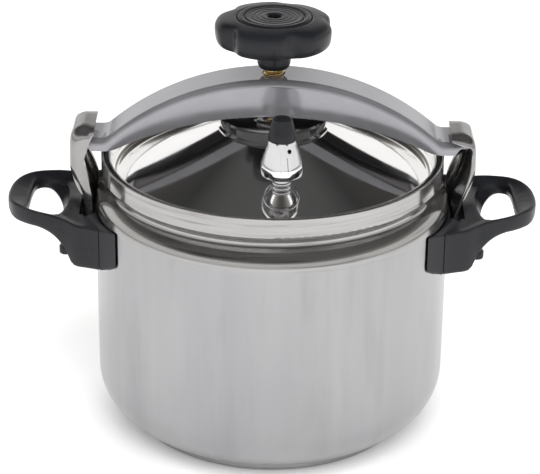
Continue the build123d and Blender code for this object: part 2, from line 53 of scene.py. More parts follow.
# ---- materials ----
class Surface:
    """A node material built round one Principled shader, with short names for the nodes it uses."""

    def __init__(self, name, metallic=0.0, specular=0.5):
        self.material = bpy.data.materials.new(name)
        self.material.use_nodes = True
        self.tree = self.material.node_tree
        self.shader = self.tree.nodes["Principled BSDF"]
        self.shader.inputs["Metallic"].default_value = metallic
        self.shader.inputs["Specular IOR Level"].default_value = specular

    def link(self, source, target):
        self.tree.links.new(source, target)

    def place(self, scale):
        """Object coordinates in metres, scaled along each axis."""
        coordinates = self.tree.nodes.new("ShaderNodeTexCoord")
        mapping = self.tree.nodes.new("ShaderNodeMapping")
        mapping.inputs["Scale"].default_value = scale
        self.link(coordinates.outputs["Object"], mapping.inputs["Vector"])
        return mapping.outputs["Vector"]

    def noise(self, scale, detail=4.0, roughness=0.55):
        texture = self.tree.nodes.new("ShaderNodeTexNoise")
        texture.inputs["Scale"].default_value = 1.0
        texture.inputs["Detail"].default_value = detail
        texture.inputs["Roughness"].default_value = roughness
        self.link(self.place(scale), texture.inputs["Vector"])
        return texture.outputs["Fac"]

    def ramp(self, factor, *stops):
        """A colour ramp; each stop is (position, colour)."""
        node = self.tree.nodes.new("ShaderNodeValToRGB")
        elements = node.color_ramp.elements
        while len(elements) < len(stops):
            elements.new(0.5)
        for element, (position, colour) in zip(elements, stops):
            element.position = position
            element.color = (*colour, 1.0)
        self.link(factor, node.inputs["Fac"])
        return node.outputs["Color"]

    def spread(self, factor, low, high, start=0.35, end=0.65):
        """Maps a factor from start to end onto plain numbers from low to high."""
        node = self.tree.nodes.new("ShaderNodeMapRange")
        node.inputs["From Min"].default_value = start
        node.inputs["From Max"].default_value = end
        node.inputs["To Min"].default_value = low
        node.inputs["To Max"].default_value = high
        self.link(factor, node.inputs["Value"])
        return node.outputs["Result"]

    def tint(self, first, second, amount):
        """First colour multiplied by the second, as strongly as the amount says."""
        node = self.tree.nodes.new("ShaderNodeMix")
        node.data_type = "RGBA"
        node.blend_type = "MULTIPLY"
        node.inputs["Factor"].default_value = amount
        self.link(first, node.inputs["A"])
        self.link(second, node.inputs["B"])
        return node.outputs["Result"]

    def above(self, start, end):
        """Rises from 0 to 1 between two heights, in metres."""
        coordinates = self.tree.nodes.new("ShaderNodeTexCoord")
        axes = self.tree.nodes.new("ShaderNodeSeparateXYZ")
        self.link(coordinates.outputs["Object"], axes.inputs["Vector"])
        return self.spread(axes.outputs["Z"], 0.0, 1.0, start, end)

    def choose(self, factor, first, second):
        """First colour where the factor is 0, second where it is 1."""
        node = self.tree.nodes.new("ShaderNodeMix")
        node.data_type = "RGBA"
        self.link(factor, node.inputs["Factor"])
        self.link(first, node.inputs["A"])
        self.link(second, node.inputs["B"])
        return node.outputs["Result"]

    def bump(self, height, distance, strength):
        node = self.tree.nodes.new("ShaderNodeBump")
        node.inputs["Distance"].default_value = distance
        node.inputs["Strength"].default_value = strength
        self.link(height, node.inputs["Height"])
        return node.outputs["Normal"]

    def finish(self, colour, roughness, normal=None):
        """Joins the colour, the roughness and any bump to the shader, and gives the material."""
        self.link(colour, self.shader.inputs["Base Color"])
        self.link(roughness, self.shader.inputs["Roughness"])
        if normal is not None:
            self.link(normal, self.shader.inputs["Normal"])
        return self.material


def satin_steel():
    """Lathe-polished wall with soft patches and upright smears; from the shoulder up it is buffed."""
    surface = Surface("satin_steel", metallic=1.0)
    shoulder_foot, shoulder_bend = 0.156, 0.162
    streaks = surface.noise((55.0, 55.0, 1.5), detail=3.0)
    clouds = surface.noise((9.0, 9.0, 5.0), detail=2.0)
    rings = surface.noise((3.0, 3.0, 2600.0), detail=3.0, roughness=0.7)
    smears = surface.noise((38.0, 38.0, 7.0), detail=5.0, roughness=0.6)
    wall = surface.tint(
        surface.ramp(streaks, (0.15, (0.345, 0.344, 0.352)), (0.85, (0.400, 0.399, 0.405))),
        surface.ramp(clouds, (0.25, (0.84, 0.84, 0.855)), (0.75, (1.0, 0.995, 0.99))),
        1.0,
    )
    wall = surface.tint(
        wall,
        surface.ramp(smears, (0.25, (0.80, 0.785, 0.77)), (0.5, (1.0, 1.0, 1.0))),
        0.7,
    )
    wipes = surface.noise((13.0, 13.0, 430.0), detail=4.0, roughness=0.6)
    buffed = surface.ramp(
        wipes,
        (0.30, (0.16, 0.153, 0.146)), (0.42, (0.345, 0.338, 0.330)), (0.7, (0.41, 0.404, 0.397)),
    )
    collar = surface.above(shoulder_foot, shoulder_bend)
    surface.link(surface.spread(collar, 1.0, 0.91, 0.0, 1.0), surface.shader.inputs["Metallic"])
    return surface.finish(
        surface.choose(collar, wall, buffed),
        surface.spread(collar, 0.26, 0.13, 0.0, 1.0),
        surface.bump(rings, 0.00001, 0.5),
    )


def mirror_steel():
    """Bright polished sheet with a trace of buffing haze."""
    surface = Surface("mirror_steel", metallic=1.0)
    haze = surface.noise((22.0, 22.0, 22.0), detail=5.0, roughness=0.65)
    marks = surface.noise((160.0, 160.0, 160.0), detail=3.0)
    colour = surface.ramp(haze, (0.3, (0.90, 0.895, 0.887)), (0.7, (0.98, 0.978, 0.975)))
    return surface.finish(colour, surface.spread(haze, 0.06, 0.13), surface.bump(marks, 0.00002, 0.25))


def bar_steel():
    """Polished pressing with a milky, slightly blue grey: lengthwise polishing lines and soft patches."""
    surface = Surface("bar_steel", metallic=0.62)
    lines = surface.noise((12.0, 900.0, 260.0), detail=3.0)
    patches = surface.noise((26.0, 40.0, 40.0), detail=4.0)
    colour = surface.ramp(patches, (0.3, (0.25, 0.248, 0.266)), (0.7, (0.30, 0.297, 0.316)))
    return surface.finish(colour, surface.spread(patches, 0.09, 0.15), surface.bump(lines, 0.00001, 0.4))


def hook_steel():
    """Polished pressing, a little warmer and darker than the bar, with fine lines along the strap."""
    surface = Surface("hook_steel", metallic=0.92)
    lines = surface.noise((200.0, 40.0, 900.0), detail=3.0)
    patches = surface.noise((45.0, 45.0, 30.0), detail=4.0)
    colour = surface.ramp(patches, (0.3, (0.235, 0.229, 0.227)), (0.7, (0.335, 0.328, 0.324)))
    return surface.finish(colour, surface.spread(patches, 0.11, 0.18), surface.bump(lines, 0.00001, 0.35))


def plated_metal():
    """Bright plate over turned metal, so close rings show through a slight haze."""
    surface = Surface("plated_metal", metallic=1.0)
    haze = surface.noise((120.0, 120.0, 60.0), detail=4.0)
    rings = surface.noise((8.0, 8.0, 3000.0), detail=2.0)
    colour = surface.ramp(haze, (0.3, (0.74, 0.74, 0.75)), (0.7, (0.82, 0.82, 0.83)))
    return surface.finish(colour, surface.spread(haze, 0.07, 0.14), surface.bump(rings, 0.00001, 0.35))


def zinc_steel():
    """Dull zinc plate with a cloudy grain."""
    surface = Surface("zinc_steel", metallic=1.0)
    haze = surface.noise((160.0, 160.0, 160.0), detail=5.0)
    colour = surface.ramp(haze, (0.3, (0.46, 0.46, 0.465)), (0.7, (0.60, 0.60, 0.61)))
    return surface.finish(colour, surface.spread(haze, 0.25, 0.42), surface.bump(haze, 0.00003, 0.3))


def aluminium():
    """Plain rolled disc with an even grain."""
    surface = Surface("aluminium", metallic=1.0)
    grain = surface.noise((300.0, 300.0, 300.0), detail=5.0)
    colour = surface.ramp(grain, (0.3, (0.62, 0.62, 0.63)), (0.7, (0.74, 0.74, 0.75)))
    return surface.finish(colour, surface.spread(grain, 0.35, 0.5), surface.bump(grain, 0.00004, 0.4))


def brass():
    """Turned brass: close rings and a little brown tarnish."""
    surface = Surface("brass", metallic=1.0)
    tarnish = surface.noise((140.0, 140.0, 140.0), detail=5.0, roughness=0.65)
    rings = surface.noise((6.0, 6.0, 2400.0), detail=2.0)
    colour = surface.ramp(
        tarnish,
        (0.32, (0.42, 0.28, 0.11)), (0.55, (0.62, 0.45, 0.20)), (0.75, (0.72, 0.55, 0.28)),
    )
    return surface.finish(colour, surface.spread(tarnish, 0.2, 0.34), surface.bump(rings, 0.00002, 0.5))


def bakelite():
    """Satin black phenolic: fine moulded grain and faint grey bloom."""
    surface = Surface("bakelite", specular=0.27)
    bloom = surface.noise((35.0, 35.0, 35.0), detail=5.0, roughness=0.6)
    grain = surface.noise((1500.0, 1500.0, 1500.0), detail=3.0)
    colour = surface.ramp(bloom, (0.3, (0.0065, 0.0068, 0.0085)), (0.7, (0.0125, 0.013, 0.016)))
    return surface.finish(colour, surface.spread(bloom, 0.26, 0.40), surface.bump(grain, 0.00003, 0.35))


def seal_rubber():
    """Dark moulded rubber with a faint pale bloom."""
    surface = Surface("seal_rubber", specular=0.35)
    bloom = surface.noise((60.0, 60.0, 60.0), detail=4.0)
    grain = surface.noise((900.0, 900.0, 900.0), detail=3.0)
    colour = surface.ramp(bloom, (0.3, (0.018, 0.018, 0.018)), (0.7, (0.034, 0.033, 0.032)))
    return surface.finish(colour, surface.spread(bloom, 0.45, 0.6), surface.bump(grain, 0.00004, 0.4))


finishes = {
    maker.__name__: maker()
    for maker in (
        satin_steel, mirror_steel, bar_steel, hook_steel, plated_metal,
        zinc_steel, aluminium, brass, bakelite, seal_rubber,
    )
}

slot_of = {part["node"]: part["material_slot"] for part in frame["record"]["subparts"]}
body_of = {
    node: body for body, members in frame["record"]["behaviour"]["bodies"].items() for node in members
}
for name, item in nodes.items():
    finish = finishes[slot_of[name]]
    if not item.material_slots:
        item.data.materials.append(finish)
    for material_slot in item.material_slots:
        material_slot.material = finish


# ---- building finer pieces ----
def add_piece(name, mesh, node):
    """Shows a mesh in place of a CAD node, with its finish and on its body."""
    piece = bpy.data.objects.new(name, mesh)
    bpy.context.collection.objects.link(piece)
    mesh.materials.append(finishes[slot_of[node]])
    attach(piece, body_of[node])
    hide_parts(node)
    return piece


def add_detail(name, mesh, body, slot):
    """Shows a mesh that adds to the CAD nodes and stands for none of them."""
    piece = bpy.data.objects.new(name, mesh)
    bpy.context.collection.objects.link(piece)
    mesh.materials.append(finishes[slot])
    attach(piece, body)
    return piece


def loft(name, rings, sharp=40.0, ends="fan"):
    """Closed skin over rings of equal length, in metres; its ends are flat ("fan") or meet ("joined")."""
    mesh = bpy.data.meshes.new(name)
    form = bmesh.new()
    rows = [[form.verts.new(point) for point in ring] for ring in rings]
    count = len(rings[0])
    strips = list(zip(rows, rows[1:]))
    if ends == "joined":
        strips.append((rows[-1], rows[0]))
    for lower, upper in strips:
        for index in range(count):
            after = (index + 1) % count
            form.faces.new((lower[index], lower[after], upper[after], upper[index]))
    if ends == "fan":
        form.faces.new(rows[0][::-1])
        form.faces.new(rows[-1])
    bmesh.ops.remove_doubles(form, verts=form.verts, dist=1e-6)
    bmesh.ops.dissolve_degenerate(form, edges=form.edges, dist=1e-6)
    bmesh.ops.recalc_face_normals(form, faces=form.faces)
    for face in form.faces:
        face.smooth = True
    form.to_mesh(mesh)
    form.free()
    mesh.set_sharp_from_angle(angle=math.radians(sharp))
    return mesh


def round_section(distance, height, bearing):
    """The section of a plain turned form: every radius stays as its profile says."""
    return distance


def turned(name, profile, steps, centre=(0.0, 0.0), radius_at=round_section, sharp=40.0):
    """Skin of a turned form; profile is a closed outline of (radius, height) in mm, bent by radius_at."""
    rings = []
    for step in range(steps):
        bearing = full_turn * step / steps
        ring = []
        for radius, height in profile:
            reach = radius_at(radius, height, bearing)
            ring.append((
                (centre[0] + reach * math.cos(bearing)) * MM,
                (centre[1] + reach * math.sin(bearing)) * MM,
                height * MM,
            ))
        rings.append(ring)
    return loft(name, rings, sharp, ends="joined")


def corner_arc(centre, radius, start, end, steps=6):
    """Points on an arc in degrees, ends included."""
    return [
        (
            centre[0] + radius * math.cos(math.radians(start + (end - start) * step / steps)),
            centre[1] + radius * math.sin(math.radians(start + (end - start) * step / steps)),
        )
        for step in range(steps + 1)
    ]


def smooth_line(points, count):
    """Catmull-Rom curve through (x, y) points, evenly stepped along its length."""
    steps_between = 24
    padded = [points[0], *points, points[-1]]
    dense = []
    for before, start, end, after in zip(padded, padded[1:], padded[2:], padded[3:]):
        for step in range(steps_between):
            t = step / steps_between
            dense.append([
                0.5 * (
                    2 * b + (c - a) * t
                    + (2 * a - 5 * b + 4 * c - d) * t * t
                    + (3 * b - a - 3 * c + d) * t ** 3
                )
                for a, b, c, d in zip(before, start, end, after)
            ])
    dense.append(list(points[-1]))
    lengths = [0.0]
    for first, second in zip(dense, dense[1:]):
        lengths.append(lengths[-1] + math.dist(first, second))
    line = []
    index = 0
    for step in range(count):
        goal = lengths[-1] * step / (count - 1)
        while index < len(lengths) - 2 and lengths[index + 1] < goal:
            index += 1
        share = (goal - lengths[index]) / max(lengths[index + 1] - lengths[index], 1e-9)
        line.append(tuple(a + (b - a) * share for a, b in zip(dense[index], dense[index + 1])))
    return line


def cut(piece, form):
    """Takes a bmesh form out of the piece for good."""
    mesh = bpy.data.meshes.new("cutter")
    form.to_mesh(mesh)
    form.free()
    cutter = bpy.data.objects.new("cutter", mesh)
    bpy.context.collection.objects.link(cutter)
    boolean = piece.modifiers.new("cut", "BOOLEAN")
    boolean.object = cutter
    boolean.operation = "DIFFERENCE"
    boolean.solver = "EXACT"
    bpy.context.view_layer.update()
    depsgraph = bpy.context.evaluated_depsgraph_get()
    finished = bpy.data.meshes.new_from_object(piece.evaluated_get(depsgraph))
    piece.modifiers.clear()
    piece.data = finished
    bpy.data.objects.remove(cutter)


def extent(node):
    """(lowest, highest) corner of a CAD node in millimetres."""
    return [[value / MM for value in corner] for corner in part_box(node)]


# ---- clamp bar: arched channel with rolled top edges ----
def arch_height(x, rise, radius, landing, landing_radius):
    """Height of the bar's line at x: a crown arc, a counter-curve and the flat landing."""
    turn = math.acos(1 - (rise - landing) / (radius + landing_radius))
    across = abs(x)
    if across <= radius * math.sin(turn):
        return rise - radius + math.sqrt(radius ** 2 - across ** 2)
    landing_start = (radius + landing_radius) * math.sin(turn)
    if across <= landing_start:
        return landing + landing_radius - math.sqrt(landing_radius ** 2 - (landing_start - across) ** 2)
    return landing


def clamp_bar_piece():
    low, high = extent("clamp_bar")
    half_width, crown_top, tongue_under = high[1], high[2], low[2]
    tongue_top = tongue_under + 8.0
    sheet, rolled_edge = 3.0, 4.4
    top_radius, top_landing_radius = 167.0, 8.0
    under_crown, under_radius, under_landing_radius = 223.5, 235.0, 25.0
    flange_end, corner_cut = 125.0, 3.5
    support = 0.5
    stations = 181
    rings = []
    for step in range(stations):
        x = low[0] + (high[0] - low[0]) * step / (stations - 1)
        top = arch_height(x, crown_top, top_radius, tongue_top, top_landing_radius)
        under = arch_height(x, under_crown, under_radius, tongue_under, under_landing_radius)
        tongue = min(max((abs(x) - flange_end + corner_cut) / corner_cut, 0.0), 1.0)
        under += (top - sheet - 0.02 - under) * tongue
        bend = min(rolled_edge, max(top - under - 0.3, sheet * 0.8))
        inner_bend = max(bend - sheet, 0.3)
        foot_of_bend = max(top - bend - support, under)
        flange = [under, (under + foot_of_bend) / 2, foot_of_bend]
        outer = [(-half_width, z) for z in flange]
        outer += corner_arc((-half_width + bend, top - bend), bend, 180, 90)
        outer += [
            (-half_width + bend + (2 * half_width - 2 * bend) * share, top)
            for share in (0.02, 0.25, 0.5, 0.75, 0.98)
        ]
        outer += corner_arc((half_width - bend, top - bend), bend, 90, 0)
        outer += [(half_width, z) for z in reversed(flange)]
        wall, roof = half_width - sheet, top - sheet
        inner_centre = max(roof - inner_bend, under)
        inner = [(wall, under)]
        inner += corner_arc((wall - inner_bend, inner_centre), inner_bend, 0, 90, 4)
        inner += corner_arc((-wall + inner_bend, inner_centre), inner_bend, 90, 180, 4)
        inner.append((-wall, under))
        inner = [(y, min(z, roof)) for y, z in inner]
        rings.append([(x * MM, y * MM, z * MM) for y, z in outer + inner])
    piece = add_piece("clamp_bar_form", loft("clamp_bar_form", rings), "clamp_bar")
    screw_clearance, bore_length = 7.6 * MM, 20.0 * MM
    bore = bmesh.new()
    bmesh.ops.create_cone(
        bore, cap_ends=True, segments=64, radius1=screw_clearance, radius2=screw_clearance,
        depth=bore_length, matrix=Matrix.Translation((0, 0, crown_top * MM)),
    )
    cut(piece, bore)


# ---- hooks: a channel pressed from sheet, its strap leaning out and its roof turned in over the bar ----
# The two differ: the left one has a wide front flange and a deep roof, the right one a narrow front rim.
# Lines are (x, z) in mm, from the roof's inner end down to the strap's foot.
hook_shapes = {
    "left": {
        "rise": 1.0,
        "roof_back": 15.5,
        "front_start": -3.5,
        "front_flange": (
            (121.4, 205.0), (123.8, 198.0), (125.4, 191.8), (123.6, 181.0), (121.2, 165.0),
            (120.9, 150.0), (121.2, 135.0),
        ),
    },
    "right": {
        "rise": -1.0,
        "roof_back": 11.0,
        "front_start": -4.0,
        "front_flange": (
            (126.0, 205.2), (132.4, 203.0), (132.8, 194.0), (131.6, 182.0), (126.4, 165.5),
            (121.6, 150.0), (121.2, 135.0),
        ),
    },
}


def hook_piece(side, sign):
    low, high = extent(f"{side}_hook")
    shape = hook_shapes[side]
    top = high[2] + shape["rise"]
    front, strap_back, roof_back = -low[1], 22.0, shape["roof_back"]
    sheet, bend = 3.0, 8.5
    roof_start, roof_blend = 186.0, 20.0
    stations = 64
    strap = smooth_line(
        (
            (118.4, top), (122.5, top), (127.5, top), (132.8, top - 2.6), (135.3, top - 8.5),
            (135.9, 195.0), (135.7, 184.0), (132.4, 172.0), (127.6, 161.0), (125.0, 150.0),
            (124.5, 135.0),
        ),
        stations,
    )
    front_edge = smooth_line(((118.8, top + shape["front_start"]), *shape["front_flange"]), stations)
    back_edge = smooth_line(
        (
            (118.8, top - 3.2), (123.4, top - 3.4), (130.0, 206.0), (132.3, 203.0), (132.2, 197.0),
            (127.5, 187.0), (121.5, 174.0), (119.6, 163.0), (121.0, 150.0), (121.2, 135.0),
        ),
        stations,
    )
    rings = []
    for (x, z), front_point, back_point in zip(strap, front_edge, back_edge):
        share = min(max((z - roof_start) / roof_blend, 0.0), 1.0)
        roof = share * share * (3 - 2 * share)
        back = strap_back + (roof_back - strap_back) * roof
        here = Vector((x, z))
        to_front = Vector(front_point) - here
        to_back = Vector(back_point) - here
        deep_front = max(to_front.length, sheet + 0.2)
        deep_back = max(to_back.length, sheet + 0.2)
        to_front.normalize()
        to_back.normalize()
        round_front = min(bend, deep_front - 0.1)
        round_back = min(bend * (1 - 0.55 * roof), deep_back - 0.1)
        inner_front = max(round_front - sheet, 0.2)
        inner_back = max(round_back - sheet, 0.2)

        def at(y, depth):
            """A point at y, set in from the strap's face towards the flange on that side."""
            blend = min(max((y + front) / (front + back), 0.0), 1.0)
            spot = here + to_front.lerp(to_back, blend) * depth
            return (sign * spot.x * MM, y * MM, spot.y * MM)

        def bent(centre, radius, start, end, steps=6):
            return [at(y, -depth) for y, depth in corner_arc(centre, radius, start, end, steps)]

        ring = [at(-front, deep_front)]
        ring += bent((-front + round_front, -round_front), round_front, 180, 90)
        ring += [
            at(-front + round_front + (back + front - round_front - round_back) * part / 6, 0.0)
            for part in range(1, 6)
        ]
        ring += bent((back - round_back, -round_back), round_back, 90, 0)
        ring += [at(back, deep_back), at(back - sheet, deep_back)]
        ring += bent((back - sheet - inner_back, -sheet - inner_back), inner_back, 0, 90, 4)
        ring += bent((-front + sheet + inner_front, -sheet - inner_front), inner_front, 90, 180, 4)
        ring.append(at(-front + sheet, deep_front))
        rings.append(ring)
    add_piece(f"{side}_hook_form", loft(f"{side}_hook_form", rings), f"{side}_hook")


# ---- knob: soft lobes with shallow notches between them, round a disc with a groove ----
def knob_piece():
    radius, core_radius = 39.3, 15.0
    lobes, notch_depth, notch_width = 5, 5.4, math.radians(10.5)
    first_notch = math.radians(-70.0)
    notch_start = 0.45

    def lobed(distance, height, bearing):
        """Draws the rim in at each notch, and leaves the stem and the disc's seat round."""
        if distance < core_radius:
            return distance
        turn = full_turn / lobes
        off = (bearing - first_notch + turn / 2) % turn - turn / 2
        share = min((distance - core_radius) / (radius - core_radius), 1.0)
        share = max(share - notch_start, 0.0) / (1 - notch_start)
        return distance - notch_depth * math.exp(-((off / notch_width) ** 2)) * share * share

    stem_foot, bore, seat = 252.0, 5.05, 285.2
    skin = smooth_line(
        (
            (8.6, stem_foot), (9.6, 252.5), (10.8, 254.6), (11.2, 257.0), (11.4, 264.4),
            (12.4, 266.2), (15.0, 267.4), (22.0, 267.9), (30.0, 268.2), (35.0, 268.7),
            (37.3, 270.3), (38.6, 273.0), (39.2, 276.8), (radius, 280.6), (38.4, 283.4), (36.4, 285.2),
            (33.4, 286.2), (29.5, 286.8), (26.6, 287.1), (25.4, 287.0), (24.9, 286.4), (24.7, seat),
        ),
        90,
    )
    profile = [(bore, stem_foot), *skin, (bore, seat)]
    add_piece("knob_form", turned("knob_form", profile, 240, radius_at=lobed, sharp=50.0), "knob")


def knob_disc_piece():
    high = extent("knob_cap")[1]
    rim, top, underside = high[0], high[2], high[2] - 2.7
    face = top - 0.3
    hole = 4.7
    profile = [(hole, underside), (hole, top - 1.1), (5.3, top - 0.45), (6.2, face)]
    for groove in (9.5, 12.8, 16.1):
        profile += [
            (groove - 0.5, face), (groove - 0.15, top - 0.43),
            (groove + 0.15, top - 0.43), (groove + 0.5, face),
        ]
    profile += [
        (rim - 5.4, face), (rim - 5.0, top - 1.2), (rim - 4.2, top - 1.2), (rim - 3.7, top - 0.25),
        (rim - 2.4, top), (rim - 0.9, top - 0.1), (rim - 0.2, top - 0.6), (rim, top - 1.3),
        (rim, underside),
    ]
    add_piece("knob_disc", turned("knob_disc", profile, 128), "knob_cap")


# ---- screw: a rolled right-hand thread above and below the bush ----
def thread_piece():
    low, high = extent("spindle")
    foot, tip = low[2], high[2]
    pitch, depth = 3.0, 0.85
    axis, neck, thread_radius, stud = 0.02, 4.0, 7.0, 5.0
    thread_start, shoulder = foot + 6.6, 264.0
    row_height, flank_slope = 0.25, 3.2

    def threaded(distance, height, bearing):
        if distance < thread_radius - 0.1:
            return distance
        turn = (height / pitch - bearing / full_turn) % 1.0
        return distance - depth * (1 - min(abs(turn - 0.5) * flank_slope, 1.0))

    profile = [
        (axis, foot), (neck - 0.5, foot), (neck, foot + 0.5), (neck, thread_start - 1.1),
        (6.2, thread_start - 1.0),
    ]
    rows = int((shoulder - thread_start) / row_height)
    profile += [(thread_radius, thread_start + row_height * row) for row in range(rows + 1)]
    profile += [(stud, shoulder + 0.05), (stud, tip - 0.6), (stud - 0.6, tip), (axis, tip)]
    mesh = turned("screw_thread", profile, 72, radius_at=threaded, sharp=60.0)
    add_piece("screw_thread", mesh, "spindle")


# ---- handles: a finger ring whose dished top runs into a block round the hook's foot ----
def height_on(line, x):
    """Height of a line of (x, z) points, x rising, at one x."""
    if x <= line[0][0]:
        return line[0][1]
    for (first_x, first_z), (second_x, second_z) in zip(line, line[1:]):
        if x <= second_x:
            return first_z + (second_z - first_z) * (x - first_x) / max(second_x - first_x, 1e-9)
    return line[-1][1]


def reach_to(outline, centre_x, bearing):
    """How far a ray from (centre_x, 0) goes before it meets the outline."""
    heading = (math.cos(bearing), math.sin(bearing))
    nearest = None
    for (ax, ay), (bx, by) in zip(outline, outline[1:] + outline[:1]):
        ax, bx = ax - centre_x, bx - centre_x
        side_a = heading[0] * ay - heading[1] * ax
        side_b = heading[0] * by - heading[1] * bx
        if side_a * side_b > 0 or side_a == side_b:
            continue
        share = side_a / (side_a - side_b)
        along = (ax + (bx - ax) * share) * heading[0] + (ay + (by - ay) * share) * heading[1]
        if along > 0 and (nearest is None or along < nearest):
            nearest = along
    return nearest


def both_sides(half):
    """A closed outline from its half with y at or below zero, which starts and ends on y = 0."""
    return [*half, *[(x, -y) for x, y in reversed(half[1:-1])]]


# Drawn for the right side, in mm: outlines from above are (x, y), and lines from the front are (x, z).
# The skin's rings stand upright round the middle of the finger hole.
loop_centre = 151.0
handle_wall = 120.3
loop_wall = smooth_line(
    (
        (179.5, 0.0), (178.2, -13.0), (173.0, -24.5), (163.0, -33.0), (150.0, -38.6), (138.5, -42.6),
        (131.0, -46.8), (122.0, -50.2), (113.0, -54.8), (106.0, -60.6), (101.6, -65.4), (99.9, -67.2),
    ),
    80,
)
wall_end, wall_steps = 66.4, 40
wall_on_pot = [
    (math.sqrt(handle_wall ** 2 - y ** 2), y)
    for y in [-wall_end + wall_end * part / wall_steps for part in range(wall_steps + 1)]
]
handle_outline = both_sides(loop_wall + wall_on_pot)
hole_above = both_sides(smooth_line(
    (
        (164.5, 0.0), (164.3, -14.0), (162.6, -25.5), (156.0, -30.2), (148.0, -29.3),
        (142.6, -23.0), (140.2, -11.0), (139.7, 0.0),
    ),
    60,
))
hole_below = both_sides(smooth_line(
    (
        (165.0, 0.0), (164.8, -14.0), (163.4, -25.0), (158.6, -29.0), (153.0, -27.5),
        (147.2, -18.5), (143.8, -8.0), (143.0, 0.0),
    ),
    60,
))
handle_top = smooth_line(
    (
        (97.0, 159.6), (101.0, 158.8), (106.0, 157.0), (112.0, 156.0), (119.0, 155.8), (128.0, 156.0),
        (138.0, 158.2), (150.0, 160.6), (165.0, 162.2), (174.0, 161.8), (179.5, 160.6),
    ),
    60,
)
handle_under = smooth_line(
    (
        (97.0, 150.0), (98.8, 143.0), (101.4, 136.0), (105.5, 130.4), (112.0, 126.8), (124.0, 125.6),
        (131.5, 125.8), (134.6, 128.8), (138.5, 137.0), (146.0, 145.0), (155.0, 148.8), (165.0, 149.4),
        (174.0, 149.6), (179.5, 151.4),
    ),
    90,
)


def handle_ring(bearing, sign):
    """One upright section: up the hole's side, over the dished top, down the wall and back below."""
    inner = reach_to(hole_above, loop_centre, bearing)
    inner_under = reach_to(hole_below, loop_centre, bearing)
    outward = reach_to(handle_outline, loop_centre, bearing)
    width = outward - inner
    toward_pot = max(-math.cos(bearing), 0.0)
    dish, dish_width = 4.6 - 2.4 * toward_pot, min(width, 15.0)
    soft_edge = 2.6

    def at(distance, height):
        x = loop_centre + distance * math.cos(bearing)
        return (sign * x * MM, distance * math.sin(bearing) * MM, height * MM)

    def top_at(distance):
        x = loop_centre + distance * math.cos(bearing)
        share = min((outward - distance) / dish_width, 1.0)
        return height_on(handle_top, x) - dish * share ** 1.35

    def under_at(distance):
        return height_on(handle_under, loop_centre + distance * math.cos(bearing))

    ring = []
    for lift, shift in ((0.0, 2.0), (0.6, 0.6), (2.0, 0.0)):
        ring.append(at(inner_under + shift, under_at(inner_under + shift) + lift))
    for drop, shift in ((3.0, 0.0), (2.0, 0.12), (1.0, 0.65), (0.3, 1.5), (0.05, 2.4)):
        ring.append(at(inner + shift, top_at(inner + shift) - drop))
    for share in (0.12, 0.25, 0.38, 0.5, 0.62, 0.74, 0.86):
        distance = inner + 2.4 + (width - 4.6) * share
        ring.append(at(distance, top_at(distance)))
    for drop, shift in ((0.0, 2.2), (0.12, 1.3), (0.55, 0.5), (1.3, 0.08), (2.2, 0.0)):
        ring.append(at(outward - shift, top_at(outward - shift) - drop))
    low_edge = min(under_at(outward) + soft_edge, top_at(outward) - soft_edge)
    ring.append(at(outward, (low_edge + top_at(outward) - 2.2) / 2))
    for lift, shift in ((soft_edge, 0.0), (1.2, 0.35), (0.35, 1.2), (0.0, soft_edge)):
        ring.append(at(outward - shift, under_at(outward - shift) + lift))
    for part in range(1, 22):
        distance = outward - soft_edge - (outward - inner_under - 4.6) * part / 22
        ring.append(at(distance, under_at(distance)))
    return ring


def block(form, centre, size, turn=Matrix.Identity(4)):
    """Adds a block, turned about its own centre, to a bmesh form."""
    bmesh.ops.create_cube(
        form, size=1.0,
        matrix=Matrix.Translation(centre) @ turn @ Matrix.Diagonal((*size, 1.0)),
    )


def hook_pocket(sign):
    """The slot for the hook's foot, and the seams between the block and its two end pieces, in metres."""
    slot_x, slot_z, slot_size, slot_corner = 0.1215, 0.145, (0.0170, 0.0505, 0.060), 0.003
    seam_x, seam_y, seam_z, seam_size = 0.1142, 0.0565, 0.143, (0.0007, 0.0090, 0.046)
    form = bmesh.new()
    block(form, (sign * slot_x, 0.0, slot_z), slot_size)
    upright = [edge for edge in form.edges if abs(edge.verts[0].co.z - edge.verts[1].co.z) > 0.01]
    bmesh.ops.bevel(form, geom=upright, offset=slot_corner, segments=4, affect="EDGES")
    for end in (-1, 1):
        block(form, (sign * seam_x, end * seam_y, seam_z), seam_size)
    return form


def handle_piece(side, sign):
    steps = 180
    rings = [handle_ring(full_turn * (step + 0.5) / steps, sign) for step in range(steps)]
    mesh = loft(f"{side}_handle_form", rings, 45.0, ends="joined")
    piece = add_piece(f"{side}_handle_form", mesh, f"{side}_handle")
    cut(piece, hook_pocket(sign))
    piece.data.set_sharp_from_angle(angle=math.radians(40.0))

    low, high = extent(f"{side}_handle_screws")
    screw_radius = 3.3
    foot = low[2] - 1.0
    boss_radius, recess_radius, screw_hole = 4.6, 3.45, 2.35
    profile = [
        (recess_radius, foot + 0.3), (3.8, foot), (4.2, foot), (boss_radius - 0.05, foot + 0.4),
        (boss_radius, foot + 1.0), (boss_radius, foot + 5.0), (3.2, foot + 7.0), (3.0, foot + 13.0),
        (screw_hole, foot + 13.0), (screw_hole, foot + 3.4), (recess_radius, foot + 3.4),
    ]
    for place, y in (("front", low[1] + screw_radius), ("back", high[1] - screw_radius)):
        name = f"{side}_boss_{place}"
        add_detail(name, turned(name, profile, 48, ((low[0] + high[0]) / 2, y)), "pot", "bakelite")


# ---- lid: one polished cone, and the domes that the valves stand on ----
lid_slope = math.radians(24.8)
crown_radius, crown_height = 31.5, 211.6
knee_radius, heel_radius = 4.0, 3.5
lip_radius, lip_top, lid_sheet = 109.4, 191.5, 1.2
cone_start = crown_radius + knee_radius * math.sin(lid_slope)


